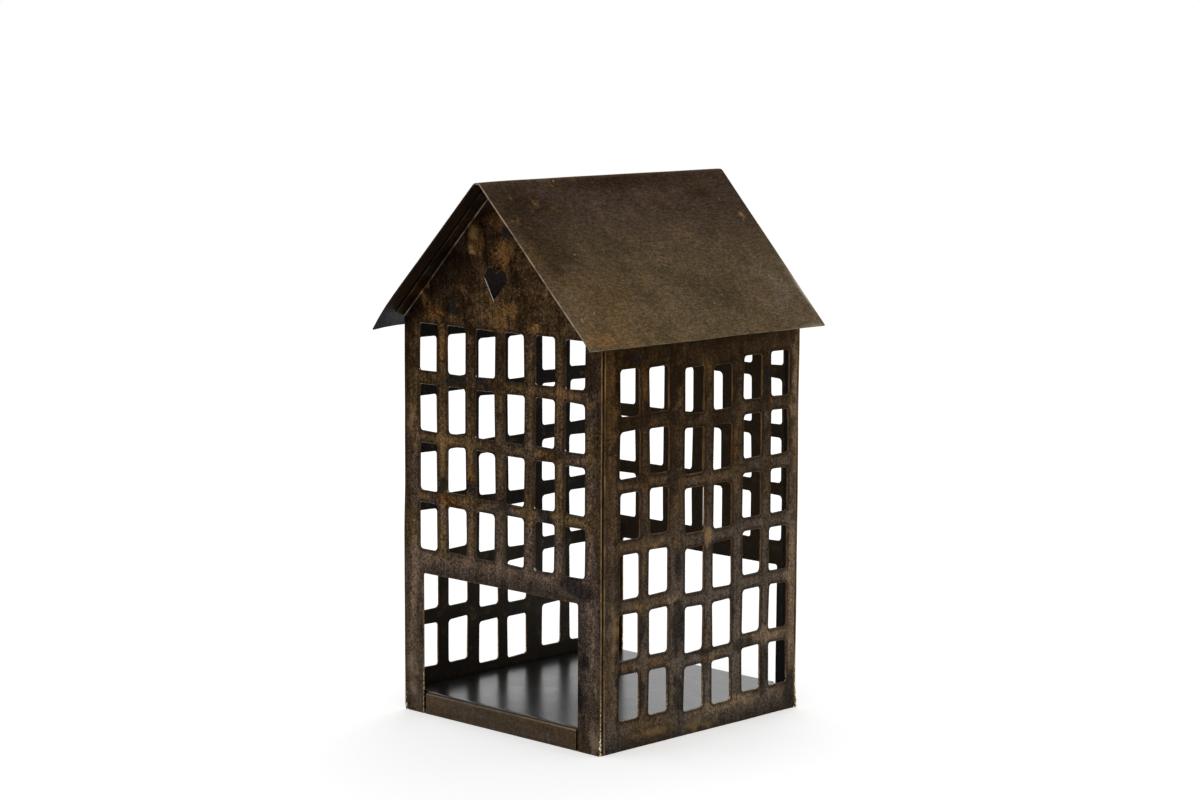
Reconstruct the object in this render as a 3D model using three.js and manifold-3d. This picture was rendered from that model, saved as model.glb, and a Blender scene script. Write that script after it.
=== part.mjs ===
// House lantern in pierced sheet metal: two gables, two side walls, a floor tray, a folded roof and
// the braze at the foot of each corner seam. Millimetres, +Z up, the front gable faces -Y.
import * as THREE from "three";
import { mergeVertices } from "three/addons/utils/BufferGeometryUtils.js";
import Module from "manifold-3d";

// House
const houseWidth = 140; // across a gable, outside
const houseDepth = 146; // over both gables, outside
const shoulderHeight = 205; // where a gable's slope leaves its side edge
const roofPitch = 45; // degrees
const sheet = 0.9; // thickness of every sheet
const foldRadius = 1.6; // outside of the folds along a gable's slopes and round the floor tray
const seatGap = 0.3; // between pieces that lie on each other
const chordError = 0.07; // how far a flat of a round corner lies from the true arc

// Gables
const gableFlange = 7.5; // folded outwards under the roof
const footRadius = 1.5; // lower corners
const leftPier = 13.5; // beside the doorway, seen from outside
const rightPier = 15.5;
const doorHeight = 73.5;
const doorCornerRadius = 1.2;
const lintel = 12.7; // between the doorway and the lowest windows
const gableWindowWidth = 13.6;
const gableWindowHeight = 24;
const gableColumnPitch = 20.8;
const gableRowPitch = 30.6;
const gableEdge = 8; // least metal beside the windows
const windowRadius = 1.8;
const heartWidth = 14.6;
const heartHeight = 16;
const heartLobe = 3.8; // radius
const heartRise = 19.8; // middle of the heart above the shoulder
const heartShift = -2.7; // off the middle, seen from outside

// Side walls: windows in strips of two columns, each strip struck at its own height
const wallFlange = 9; // folded in behind each gable
const wallFoldRadius = 2.2;
const wallWindowWidth = 13.6;
const wallWindowHeight = 22.6;
const wallColumnPitch = 20.8;
const wallRowPitch = 30;
const stripBar = 7; // least metal between two strips
const wallTopEdge = 8; // least metal above the windows
const firstStripEdge = 13.4; // corner of the house to the first window
const lastStripEdge = 8.5;
const middleStripShift = 1.7;
const rightWallSills = [15, 12.2, 15]; // foot of each strip, from its left end seen from outside
const leftWallSills = [18.3, 16, 20.5];

// Floor tray
const floorHeight = 11.5; // top of the floor
const jambGap = 1.2; // beside the flap in a doorway
const flapRecess = 0.2; // flap behind the face of the gable

// Roof
const ridgeRadius = 4; // outside of the ridge fold
const vergeOverhang = 15.5; // past each gable
const eaveOverhang = 8.2; // past each wall, measured level

// Braze
const brazeHeight = 9.5;
const brazeBlobs = 7;
const brazeRadius = 0.95;
const brazeClearance = 0.05;

const pitch = THREE.MathUtils.degToRad(roofPitch);
const gableTopRise = sheet / Math.cos(pitch); // level height of the slope's sheet
const flangeApex = shoulderHeight + gableTopRise + (houseWidth / 2) * Math.tan(pitch);
const roofUnderApex = flangeApex + seatGap / Math.cos(pitch);
const roofTopApex = roofUnderApex + sheet / Math.cos(pitch);
const ridgeCentre = roofTopApex - ridgeRadius / Math.cos(pitch);
const eaveX = houseWidth / 2 + eaveOverhang;
const wallTop = roofUnderApex - (houseWidth / 2) * Math.tan(pitch) - seatGap;
const wallLength = houseDepth - 2 * (sheet + seatGap);

const wasm = await Module();
wasm.setup();

function toManifold(geometry) {
  const plain = geometry.clone().deleteAttribute("normal").deleteAttribute("uv");
  const merged = mergeVertices(plain, 1e-4);
  const vertProperties = merged.attributes.position.array;
  const triVerts = new Uint32Array(merged.index.array);
  return new wasm.Manifold(new wasm.Mesh({ numProp: 3, vertProperties, triVerts }));
}

function toGeometry(solid) {
  const mesh = solid.getMesh();
  const geometry = new THREE.BufferGeometry();
  geometry.setAttribute("position", new THREE.BufferAttribute(mesh.vertProperties, 3));
  geometry.setIndex(new THREE.BufferAttribute(mesh.triVerts, 1));
  const faceted = geometry.toNonIndexed();
  faceted.computeVertexNormals();
  return faceted;
}

// Points of an arc between two angles in degrees.
function arc(x, y, radius, from, to) {
  const flat = THREE.MathUtils.radToDeg(2 * Math.acos(Math.max(0, 1 - chordError / radius)));
  const steps = Math.max(2, Math.ceil(Math.abs(to - from) / flat));
  return Array.from({ length: steps + 1 }, (_, i) => {
    const angle = THREE.MathUtils.degToRad(from + ((to - from) * i) / steps);
    return new THREE.Vector2(x + radius * Math.cos(angle), y + radius * Math.sin(angle));
  });
}

function point(x, y) {
  return new THREE.Vector2(x, y);
}

function extrude(shape, depth) {
  return new THREE.ExtrudeGeometry(shape, { depth, bevelEnabled: false });
}

// Lays a profile's x and y along two axes, so that it is extruded along their cross product.
function lay(geometry, origin, xAxis, yAxis) {
  const zAxis = new THREE.Vector3().crossVectors(xAxis, yAxis);
  const matrix = new THREE.Matrix4().makeBasis(xAxis, yAxis, zAxis).setPosition(origin);
  return geometry.applyMatrix4(matrix);
}

// A sheet standing up: drawn in x and height, its outer face at y = 0 and its inner face at y = sheet.
function uprightSheet(shape) {
  const origin = new THREE.Vector3(0, sheet, 0);
  return lay(extrude(shape, sheet), origin, new THREE.Vector3(1, 0, 0), new THREE.Vector3(0, 0, 1));
}

// Section of a fold: the two outer faces run from the origin towards -x and towards -y.
function foldSection(armX, armY, radius) {
  const inner = radius - sheet;
  return new THREE.Shape([
    point(-armX, 0),
    point(-armX, -sheet),
    ...arc(-radius, -radius, inner, 90, 0),
    point(-sheet, -armY),
    point(0, -armY),
    ...arc(-radius, -radius, radius, 0, 90),
  ]);
}

function box(sizeX, sizeY, sizeZ, x, y, z) {
  return toManifold(new THREE.BoxGeometry(sizeX, sizeY, sizeZ).translate(x, y, z));
}

function windowHole(x, bottom, width, height) {
  const r = windowRadius;
  const inX = width / 2 - r;
  return new THREE.Path([
    ...arc(x - inX, bottom + r, r, 270, 180),
    ...arc(x - inX, bottom + height - r, r, 180, 90),
    ...arc(x + inX, bottom + height - r, r, 90, 0),
    ...arc(x + inX, bottom + r, r, 0, -90),
  ]);
}

function heartHole(x, middle) {
  const lobeX = heartWidth / 2 - heartLobe;
  const lobeY = middle + heartHeight / 2 - heartLobe;
  const tip = middle - heartHeight / 2;
  const cleft = THREE.MathUtils.radToDeg(Math.acos(lobeX / heartLobe));
  const toTip = Math.atan2(tip - lobeY, -lobeX);
  const spread = Math.acos(heartLobe / Math.hypot(lobeX, lobeY - tip));
  const side = THREE.MathUtils.radToDeg(toTip + spread);
  return new THREE.Path([
    ...arc(x + lobeX, lobeY, heartLobe, 180 - cleft, side),
    point(x, tip),
    ...arc(x - lobeX, lobeY, heartLobe, 180 - side, cleft).slice(0, -1),
  ]);
}

// The gable's flat sheet, up to where its folds start.
function gableOutline() {
  const half = houseWidth / 2;
  const r = footRadius;
  const d = doorCornerRadius;
  const foldDrop = foldRadius / Math.cos(pitch);
  const side = shoulderHeight + gableTopRise - foldDrop;
  return new THREE.Shape([
    ...arc(half - r, r, r, -90, 0),
    point(half, side),
    point(0, flangeApex - foldDrop),
    point(-half, side),
    ...arc(r - half, r, r, 180, 270),
    point(leftPier - half, 0),
    ...arc(leftPier - half + d, doorHeight - d, d, 180, 90),
    ...arc(half - rightPier - d, doorHeight - d, d, 90, 0),
    point(half - rightPier, 0),
  ]);
}

function gableHoles() {
  const room = houseWidth - 2 * gableEdge - gableWindowWidth;
  const columns = Math.floor(room / gableColumnPitch) + 1;
  const sill = doorHeight + lintel;
  const rows = Math.floor((shoulderHeight - sill - gableWindowHeight) / gableRowPitch) + 1;
  const holes = [heartHole(heartShift, shoulderHeight + heartRise)];
  for (let column = 0; column < columns; column++) {
    const x = (column - (columns - 1) / 2) * gableColumnPitch;
    for (let row = 0; row < rows; row++) {
      const bottom = sill + row * gableRowPitch;
      holes.push(windowHole(x, bottom, gableWindowWidth, gableWindowHeight));
    }
  }
  return holes;
}

// One slope's fold and flange: it runs down the slope on the right and up it on the left.
function slopeFold(side) {
  const length = houseWidth / 2 / Math.cos(pitch) + foldRadius;
  const section = foldSection(gableFlange + sheet, 3 * foldRadius, foldRadius);
  const normal = new THREE.Vector3(side * Math.sin(pitch), 0, Math.cos(pitch));
  const apex = new THREE.Vector3(0, sheet, flangeApex);
  const down = new THREE.Vector3(side * Math.cos(pitch), 0, -Math.sin(pitch));
  const start = side > 0 ? apex : apex.clone().addScaledVector(down, length);
  const strip = toManifold(lay(extrude(section, length), start, new THREE.Vector3(0, 1, 0), normal));
  const ridgeClearance = ridgeRadius * Math.sin(pitch) + seatGap;
  const reach = houseWidth / 2 - ridgeClearance;
  const middle = side * (ridgeClearance + reach / 2);
  return strip.intersect(box(reach, 4 * gableFlange, 2 * flangeApex, middle, 0, flangeApex));
}

function gable() {
  const outline = gableOutline();
  outline.holes.push(...gableHoles());
  return toManifold(uprightSheet(outline)).add(slopeFold(1)).add(slopeFold(-1));
}

function wallHoles(sills) {
  const stripWidth = wallColumnPitch + wallWindowWidth;
  const first = -houseDepth / 2 + firstStripEdge + stripWidth / 2;
  const last = houseDepth / 2 - lastStripEdge - stripWidth / 2;
  const strips = Math.floor((last - first) / (stripWidth + stripBar)) + 1;
  const highest = Math.max(...sills);
  const rise = wallTop - wallTopEdge - highest - wallWindowHeight;
  const rows = Math.floor(rise / wallRowPitch) + 1;
  const holes = [];
  for (let strip = 0; strip < strips; strip++) {
    const share = strips > 1 ? strip / (strips - 1) : 0.5;
    const inner = share > 0 && share < 1;
    const centre = first + (last - first) * share + (inner ? middleStripShift : 0);
    for (const x of [centre - wallColumnPitch / 2, centre + wallColumnPitch / 2]) {
      for (let row = 0; row < rows; row++) {
        const bottom = sills[strip % sills.length] + row * wallRowPitch;
        holes.push(windowHole(x, bottom, wallWindowWidth, wallWindowHeight));
      }
    }
  }
  return holes;
}

// A wall lies along x, with its outer face at y = 0.
function wall(sills) {
  const end = wallLength / 2;
  const web = end - 1.5 * wallFoldRadius;
  const outline = new THREE.Shape([
    point(-web, 0),
    point(web, 0),
    point(web, wallTop),
    point(-web, wallTop),
  ]);
  outline.holes.push(...wallHoles(sills));
  const section = foldSection(2 * wallFoldRadius, wallFlange, wallFoldRadius);
  const outward = new THREE.Vector3(0, -1, 0);
  const right = new THREE.Vector3(end, 0, wallTop);
  const left = new THREE.Vector3(-end, 0, 0);
  const rightFold = lay(extrude(section, wallTop), right, new THREE.Vector3(1, 0, 0), outward);
  const leftFold = lay(extrude(section, wallTop), left, new THREE.Vector3(-1, 0, 0), outward);
  return toManifold(uprightSheet(outline)).add(toManifold(rightFold)).add(toManifold(leftFold));
}

// A floor folded down on two sides, and a flap through each doorway.
function floorTray() {
  const r = foldRadius;
  const inner = r - sheet;
  const half = houseWidth / 2 - sheet - seatGap;
  const length = wallLength - 2 * wallFoldRadius; // clear of the folds inside the corners
  const channel = new THREE.Shape([
    point(half, 0),
    ...arc(half - r, floorHeight - r, r, 0, 90),
    ...arc(r - half, floorHeight - r, r, 90, 180),
    point(-half, 0),
    point(sheet - half, 0),
    ...arc(r - half, floorHeight - r, inner, 180, 90),
    ...arc(half - r, floorHeight - r, inner, 90, 0),
    point(half - sheet, 0),
  ]);
  const along = new THREE.Vector3(1, 0, 0);
  const up = new THREE.Vector3(0, 0, 1);
  const start = new THREE.Vector3(0, length / 2, 0);
  let tray = toManifold(lay(extrude(channel, length), start, along, up));

  const flapLeft = leftPier - houseWidth / 2 + jambGap;
  const flapRight = houseWidth / 2 - rightPier - jambGap;
  const face = houseDepth / 2 - flapRecess;
  const section = foldSection(houseDepth / 4, floorHeight, r);
  for (const turn of [0, Math.PI]) {
    const origin = new THREE.Vector3(flapRight, -face, floorHeight);
    const outward = new THREE.Vector3(0, -1, 0);
    const flap = lay(extrude(section, flapRight - flapLeft), origin, outward, up);
    tray = tray.add(toManifold(flap.rotateZ(turn)));
  }
  return tray;
}

function roof() {
  const eaveTop = roofTopApex - eaveX * Math.tan(pitch);
  const underX = eaveX - sheet * Math.sin(pitch);
  const underZ = eaveTop - sheet * Math.cos(pitch);
  const shape = new THREE.Shape([
    point(eaveX, eaveTop),
    ...arc(0, ridgeCentre, ridgeRadius, 90 - roofPitch, 90 + roofPitch),
    point(-eaveX, eaveTop),
    point(-underX, underZ),
    ...arc(0, ridgeCentre, ridgeRadius - sheet, 90 + roofPitch, 90 - roofPitch),
    point(underX, underZ),
  ]);
  const length = houseDepth + 2 * vergeOverhang;
  const start = new THREE.Vector3(0, length / 2, 0);
  const across = new THREE.Vector3(1, 0, 0);
  return toManifold(lay(extrude(shape, length), start, across, new THREE.Vector3(0, 0, 1)));
}

// A run of blobs on the foot of a corner seam: side is 1 on the right and -1 on the left.
function cornerBraze(side) {
  const edge = houseWidth / 2;
  let run = null;
  for (let i = 0; i < brazeBlobs; i++) {
    const share = i / (brazeBlobs - 1);
    const radius = brazeRadius * (1 - 0.2 * share + 0.12 * Math.sin(2.4 * i));
    const x = side * (edge - 0.25 + 0.12 * Math.cos(1.9 * i));
    const y = sheet / 4 + 0.15 * Math.sin(1.3 * i);
    const z = brazeRadius * 1.2 + share * (brazeHeight - 2.4 * brazeRadius);
    const ball = new THREE.SphereGeometry(radius, 8, 6).rotateX(Math.PI / 2);
    const blob = toManifold(ball.translate(x, y, z));
    run = run ? run.add(blob) : blob;
  }
  const inside = edge + brazeClearance;
  const reach = houseDepth / 2 + brazeClearance;
  const kept = side * (inside - edge / 2);
  return run.subtract(box(edge, reach, 4 * brazeHeight, kept, reach / 2 - brazeClearance, 0));
}

function material(color, roughness, metalness) {
  return new THREE.MeshStandardMaterial({ color, roughness, metalness });
}

function addPiece(name, solid, look, position, turn) {
  const mesh = new THREE.Mesh(toGeometry(solid), look);
  mesh.name = name;
  mesh.position.copy(position);
  mesh.rotation.z = turn;
  group.add(mesh);
}

const agedGable = material("#6d5738", 0.45, 0.9);
const agedWall = material("#66543c", 0.45, 0.9);
const agedRoof = material("#7a6a52", 0.4, 0.9);
const darkFloor = material("#4a4136", 0.35, 0.9);
const brightBraze = material("#d9bd7c", 0.3, 1);

const group = new THREE.Group();
const front = new THREE.Vector3(0, -houseDepth / 2, 0);
const rear = new THREE.Vector3(0, houseDepth / 2, 0);
const rightSide = new THREE.Vector3(houseWidth / 2, 0, 0);
const leftSide = new THREE.Vector3(-houseWidth / 2, 0, 0);
const centre = new THREE.Vector3();

addPiece("front_gable", gable(), agedGable, front, 0);
addPiece("rear_gable", gable(), agedGable, rear, Math.PI);
addPiece("right_wall", wall(rightWallSills), agedWall, rightSide, Math.PI / 2);
addPiece("left_wall", wall(leftWallSills), agedWall, leftSide, -Math.PI / 2);
addPiece("floor_tray", floorTray(), darkFloor, centre, 0);
addPiece("roof", roof(), agedRoof, centre, 0);
addPiece("braze_front_right", cornerBraze(1), brightBraze, front, 0);
addPiece("braze_front_left", cornerBraze(-1), brightBraze, front, 0);
addPiece("braze_rear_right", cornerBraze(-1), brightBraze, rear, Math.PI);
addPiece("braze_rear_left", cornerBraze(1), brightBraze, rear, Math.PI);

export default group;
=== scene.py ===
import math
import random

import bmesh
import bpy
from bpy.props import FloatProperty, FloatVectorProperty, IntProperty, PointerProperty
from mathutils import Color, Matrix, Vector, noise


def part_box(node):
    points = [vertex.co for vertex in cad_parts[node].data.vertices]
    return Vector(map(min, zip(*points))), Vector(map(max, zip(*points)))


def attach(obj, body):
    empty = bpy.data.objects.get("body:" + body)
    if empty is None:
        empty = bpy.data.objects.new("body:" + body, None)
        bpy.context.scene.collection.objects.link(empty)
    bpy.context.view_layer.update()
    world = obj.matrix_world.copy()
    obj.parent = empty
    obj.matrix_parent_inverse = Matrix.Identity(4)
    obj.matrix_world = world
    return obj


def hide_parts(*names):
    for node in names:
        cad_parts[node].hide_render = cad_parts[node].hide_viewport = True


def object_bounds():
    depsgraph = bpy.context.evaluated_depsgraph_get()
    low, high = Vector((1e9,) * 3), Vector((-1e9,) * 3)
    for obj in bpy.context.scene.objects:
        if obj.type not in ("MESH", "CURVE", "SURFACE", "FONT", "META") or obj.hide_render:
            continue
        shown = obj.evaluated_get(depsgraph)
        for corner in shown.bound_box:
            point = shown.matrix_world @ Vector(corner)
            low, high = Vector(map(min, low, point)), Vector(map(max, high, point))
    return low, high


bl_info = {
    "name": "House lantern",
    "version": (1, 0, 0),
    "blender": (4, 5, 0),
    "location": "3D View > Sidebar > House lantern",
    "description": "Dresses the packed house lantern in hand-cut, patinated brass sheet",
    "category": "Add Mesh",
}

MM = 0.001

# How close points are that count as on a line, as the same, and as beside a line
SNAP = 0.02 * MM
MERGE = 0.04 * MM
NEAR = 0.1 * MM

QUARTER = math.pi / 2
WHITE = Color((1, 1, 1))

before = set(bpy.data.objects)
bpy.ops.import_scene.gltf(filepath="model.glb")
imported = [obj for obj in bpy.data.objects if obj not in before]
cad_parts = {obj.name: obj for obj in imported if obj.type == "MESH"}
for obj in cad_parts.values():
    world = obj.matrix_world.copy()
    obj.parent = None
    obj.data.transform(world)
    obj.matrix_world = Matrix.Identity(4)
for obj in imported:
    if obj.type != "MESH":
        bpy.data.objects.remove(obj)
cad_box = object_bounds()

gable_low, gable_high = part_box("front_gable")
wall_low, wall_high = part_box("right_wall")
roof_low, roof_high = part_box("roof")
tray_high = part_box("floor_tray")[1]


def linear(code):
    """Linear red, green and blue of an sRGB hex colour."""
    channels = [int(code[i:i + 2], 16) / 255 for i in (1, 3, 5)]
    return tuple(c / 12.92 if c <= 0.04045 else ((c + 0.055) / 1.055) ** 2.4 for c in channels)


def length(name, description, size_mm):
    """A length that is written in millimetres."""
    settings = {"default": size_mm * MM, "unit": "LENGTH", "precision": 5}
    return FloatProperty(name=name, description=description, **settings)


def angle(name, description, degrees):
    """An angle that is written in degrees."""
    settings = {"default": math.radians(degrees), "subtype": "ANGLE"}
    return FloatProperty(name=name, description=description, **settings)


def position(name, description, default):
    """Three coordinates in metres."""
    return FloatVectorProperty(name=name, description=description, default=default, unit="LENGTH")


def count(name, description, default):
    return IntProperty(name=name, description=description, default=default, min=2)


def level(name, description, default, subtype="NONE"):
    return FloatProperty(name=name, description=description, default=default, min=0, subtype=subtype)


def colour(name, description, code):
    """A colour that is written as sRGB hex."""
    settings = {"default": linear(code), "size": 3, "subtype": "COLOR", "min": 0, "max": 1}
    return FloatVectorProperty(name=name, description=description, **settings)


class LanternSheet(bpy.types.PropertyGroup):
    thickness: length("Sheet", "Thickness of every sheet", 0.9)
    arris: length("Arris", "Rounding of the cut edges", 0.22)
    rub: length("Rubbed band", "Width of the band beside a cut edge that handling has brightened", 0.55)
    halo: length("Halo", "Width of the darker stain round each window", 2)
    spacing: length("Spacing", "Between the lines that let a sheet wave", 8)
    wave: length("Wave", "How far a sheet strays from flat", 0.35)
    wave_length: length("Wave length", "From one swell of a sheet to the next", 42)
    bend_lines: count("Bend lines", "Lines across each fold", 6)


class LanternWindow(bpy.types.PropertyGroup):
    width: length("Width", "Width of every window", 13.6)
    radius: length("Radius", "Corners of a window", 1.8)
    column_pitch: length("Column pitch", "From window to window across", 20.8)
    wander: length("Wander", "How far a hand-cut corner strays", 0.5)


class LanternGable(bpy.types.PropertyGroup):
    pitch: angle("Pitch", "Slope of the roof", 45)
    fold_radius: length("Fold radius", "Inside of the fold along a slope", 0.7)
    ridge_gap: length("Ridge gap", "From the middle to the end of each flange", 3.13)
    flange_mitre: length("Flange mitre", "How far the eave end of a flange is cut back", 3.5)
    trim: length("Trim", "How far the rear gable's sides are filed in", 0.4)
    flare: length("Flare", "How far the front gable's left edge swells at its foot", 0.9)
    flare_width: length("Flare width", "How far in from the edge it swells", 6)
    flare_top: length("Flare top", "Where that swelling starts", 125)
    flare_rise: length("Flare rise", "How far below that it is full", 35)
    foot_radius: length("Foot radius", "Lower corners", 1.5)
    clipped_foot: length("Clipped foot", "Lower left corner, which is cut back further", 2.4)
    left_pier: length("Left pier", "Beside the doorway, seen from outside", 13.5)
    right_pier: length("Right pier", "Beside the doorway, seen from outside", 15.5)
    door_height: length("Door height", "Foot to the head of the doorway", 73.5)
    door_radius: length("Door radius", "Upper corners of the doorway", 1.2)
    columns: count("Columns", "Windows across", 6)
    rows: count("Rows", "Windows up", 4)
    window_height: length("Window height", "Height of a window", 24)
    row_pitch: length("Row pitch", "From window to window up", 30.6)
    sill: length("Sill", "Height of the lowest sill", 86.2)
    heart_width: length("Heart width", "Width of the heart", 15.8)
    heart_height: length("Heart height", "Height of the heart", 16)
    heart_lobe: length("Heart lobe", "Radius of its lobes", 4.2)
    heart_rise: length("Heart rise", "Height of the heart's middle", 224.8)
    heart_shift: length("Heart shift", "Off the middle, seen from outside", -3.3)
    heart_lean: angle("Heart lean", "Clockwise, seen from outside", 6.5)


class LanternWall(bpy.types.PropertyGroup):
    fold_radius: length("Fold radius", "Outside of the front corner fold", 2.2)
    rear_fold_radius: length("Rear fold radius", "Outside of the rear corner fold", 1.2)
    rows: count("Rows", "Windows up", 6)
    window_height: length("Window height", "Height of a window", 22.6)
    row_pitch: length("Row pitch", "From window to window up", 30)
    first_edge: length("First edge", "Corner of the house to the first window", 13.4)
    last_edge: length("Last edge", "Last window to the corner of the house", 8.5)
    middle_shift: length("Middle shift", "The middle strip off the middle", 1.7)
    right_sills: position("Right sills", "Foot of each strip", (0.015, 0.0122, 0.015))
    left_sills: position("Left sills", "Foot of each strip", (0.0183, 0.016, 0.0205))


class LanternTray(bpy.types.PropertyGroup):
    fold_radius: length("Fold radius", "Outside of its folds", 1.6)
    jamb_gap: length("Jamb gap", "Beside the flap in a doorway", 1.2)
    wave: length("Wave", "How far the floor strays from flat", 0.1)


class LanternRoof(bpy.types.PropertyGroup):
    ridge_radius: length("Ridge radius", "Outside of the ridge fold", 4)
    verge_set: length("Verge set", "How far the rear verge stands in at the ridge", 0.6)
    verge_slant: length("Verge slant", "How much further it stands in at the right eave", 5)
    knock: length("Knock", "How far the front left corner of the eave was knocked down", 1.8)
    knock_reach: length("Knock reach", "Size of that bent corner", 24)
    sag: length("Sag", "How far the front end of the ridge sags", 0.7)
    sag_reach: length("Sag reach", "Width of that sag beside the ridge", 30)
    # Painted shade under the roof reaches this far from the middle.
    soot_reach: length("Shade reach", "From the middle to where the soot under the roof ends", 62)


class LanternBraze(bpy.types.PropertyGroup):
    height: length("Height", "Top of the run", 9.5)
    beads: count("Beads", "Beads in a run", 11)
    radius: length("Radius", "Radius of a bead", 0.8)
    smallest: level("Smallest", "Share of that radius that the smallest bead has", 0.55)
    taper: level("Taper", "Share by which the beads shrink up the run", 0.35)
    voxel: length("Voxel", "Grain of the molten surface", 0.12)


class LanternFinish(bpy.types.PropertyGroup):
    umber: colour("Umber", "Where the pickle bit deepest", "#1a100a")
    brown: colour("Brown", "Common colour of the pickle", "#302317")
    drab: colour("Drab", "The same on the walls", "#291c10")
    ochre: colour("Ochre", "Patches where the pickle is thin", "#533a1f")
    stone: colour("Stone", "Golden grey of the rubbed foot", "#5c4b34")
    mauve: colour("Mauve", "Purplish clouds in it", "#584a41")
    khaki: colour("Khaki", "The same foot on the walls", "#524435")
    dusk: colour("Dusk", "Greyer clouds in it", "#514840")
    rust: colour("Rust", "Reddish marks", "#5c3a18")
    dust: colour("Dust", "Dull pinkish grey near the corners", "#6e5c4a")
    # Grime in the seams, and also the painted shade under the middle of the roof.
    seam: colour("Seam", "Grime in a seam, and soot under the roof", "#150c07")
    slate: colour("Slate", "Blue black stains", "#15161a")
    ridge: colour("Ridge", "Roof near its ridge", "#362c29")
    olive: colour("Olive", "Clouds on the roof", "#3d3628")
    eave: colour("Eave", "Roof near its eaves", "#574a38")
    ash: colour("Ash", "Greyer parts of the roof near its eaves", "#60564d")
    honey: colour("Honey", "Warm glow along the roof's eave", "#6e5233")
    # Also the painted highlight along the gables' folds, and the painted light on their flanges.
    bronze: colour("Bronze", "Rubbed folds and feet of the gables", "#8a7868")
    # Also the painted highlight along the folds of the walls and the tray.
    gold: colour("Gold", "Brass where the pickle is rubbed off", "#8a6d45")
    sheared: colour("Sheared", "Tarnished brass of a cut edge", "#7c5f38")
    coppery: colour("Coppery", "The same on the walls", "#6f4f2f")
    pale: colour("Pale", "Cut edge of the roof, which is handled most", "#8c7f68")
    # Painted white of the highlights and reflections on cut edges and on two roof corners.
    filed: colour("Highlight white", "Bare metal where a file or a hand polished it", "#c9c4b8")
    # The inside colours are painted shade of the inside of the house, darker than the sheet outside.
    smoke: colour("Inner shade", "Smoked brown inside", "#281d0f")
    soot: colour("Dark shade", "Sooty black inside", "#1f1810")
    lamp_black: colour("Darkest shade", "Where the smoke is thickest", "#0f0e0d")
    # Painted reflection of the white floor: the grey low on the underside of the eaves.
    soffit: colour("Soffit", "Grey underside of the eaves", "#686b6f")
    shade: colour("Shade", "Brown underside of the roof higher up", "#34261b")
    floor: colour("Floor", "Waxed floor", "#454647")
    flap: colour("Flap", "Flaps of the floor", "#6d5636")
    braze: colour("Braze", "Braze as it cooled", "#f0dcae")


class LanternStage(bpy.types.PropertyGroup):
    camera_place: position("Camera", "Where the camera stands", (1.0369, -1.0682, 0.3597))
    yaw: angle("Yaw", "From the front", 44.199)
    tilt: angle("Tilt", "Downwards", 7.595)
    roll: angle("Roll", "About the view", 0.195)
    lens: level("Lens", "Focal length in millimetres", 88.06)
    ambient: level("Ambient", "Light of the white surroundings", 0.6)
    key: level("Key", "Power of the high softbox", 5, "POWER")
    key_place: position("Key place", "Where the high softbox hangs", (-0.5, 0.9, 1.5))
    key_size: length("Key size", "Side of the high softbox", 1100)
    fill: level("Fill", "Power of the low softbox", 2, "POWER")
    fill_place: position("Fill place", "Where the low softbox stands", (-1, -1.3, 0.7))
    fill_size: length("Fill size", "Side of the low softbox", 900)
    aim: position("Aim", "Where both softboxes point", (0, 0, 0.14))
    floor_reach: length("Floor", "Half the side of the floor", 4000)
    paper: level("Paper", "Whiteness of the floor", 0.92)
    glow: level("Glow", "What lifts the floor to white in the picture and in reflections", 0.45)


class LanternSettings(bpy.types.PropertyGroup):
    sheet: PointerProperty(type=LanternSheet)
    window: PointerProperty(type=LanternWindow)
    gable: PointerProperty(type=LanternGable)
    wall: PointerProperty(type=LanternWall)
    tray: PointerProperty(type=LanternTray)
    roof: PointerProperty(type=LanternRoof)
    braze: PointerProperty(type=LanternBraze)
    finish: PointerProperty(type=LanternFinish)
    stage: PointerProperty(type=LanternStage)


def chosen():
    """The sizes and colours that this scene holds."""
    return bpy.context.scene.lantern


# Sheet work. A sheet is drawn flat in X and Z with its outer face towards -Y, pierced, scored, bent, and
# only then given its thickness. The layer "rim" is 1 on a cut edge that is rubbed bright, and up to 2.2
# where it is painted white: as a highlight at the lower left of a window and of the heart, and as a
# reflection of the floor along a window's upper edge. The layer of wear is 1 where a fold is rubbed bright,
# which also stands as a painted highlight, above 0 where painted light lifts a gable's flange in the roof's
# shade, and below 0 where grime fills a seam and where painted shade darkens the middle of the roof's
# underside. "halo" is 1 beside a window.


def point(x, z):
    return Vector((x, 0, z))


def inset(bm, faces, width):
    """Insets each face and returns what is left of it."""
    bm.normal_update()
    before = set(bm.faces) - set(faces)
    around = set(bmesh.ops.inset_individual(bm, faces=faces, thickness=width)["faces"])
    return [face for face in bm.faces if face not in around and face not in before]


def band(bm, width, outer, inner, halo=0.0):
    """Turns each face into a band along its edge, open in the middle."""
    bm.verts.layers.float.new("worn")
    stained = bm.verts.layers.float.new("halo")
    rim = bm.verts.layers.float.new("rim")
    for vert in bm.verts:
        vert[rim] = outer
    middles = bm.faces[:]
    if halo:
        middles = inset(bm, middles, halo)
        for vert in {vert for face in middles for vert in face.verts}:
            vert[stained] = 1
    middles = inset(bm, middles, width)
    for vert in {vert for face in middles for vert in face.verts}:
        vert[rim] = inner
        vert[stained] = 1
    bmesh.ops.delete(bm, geom=middles, context="FACES")


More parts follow.
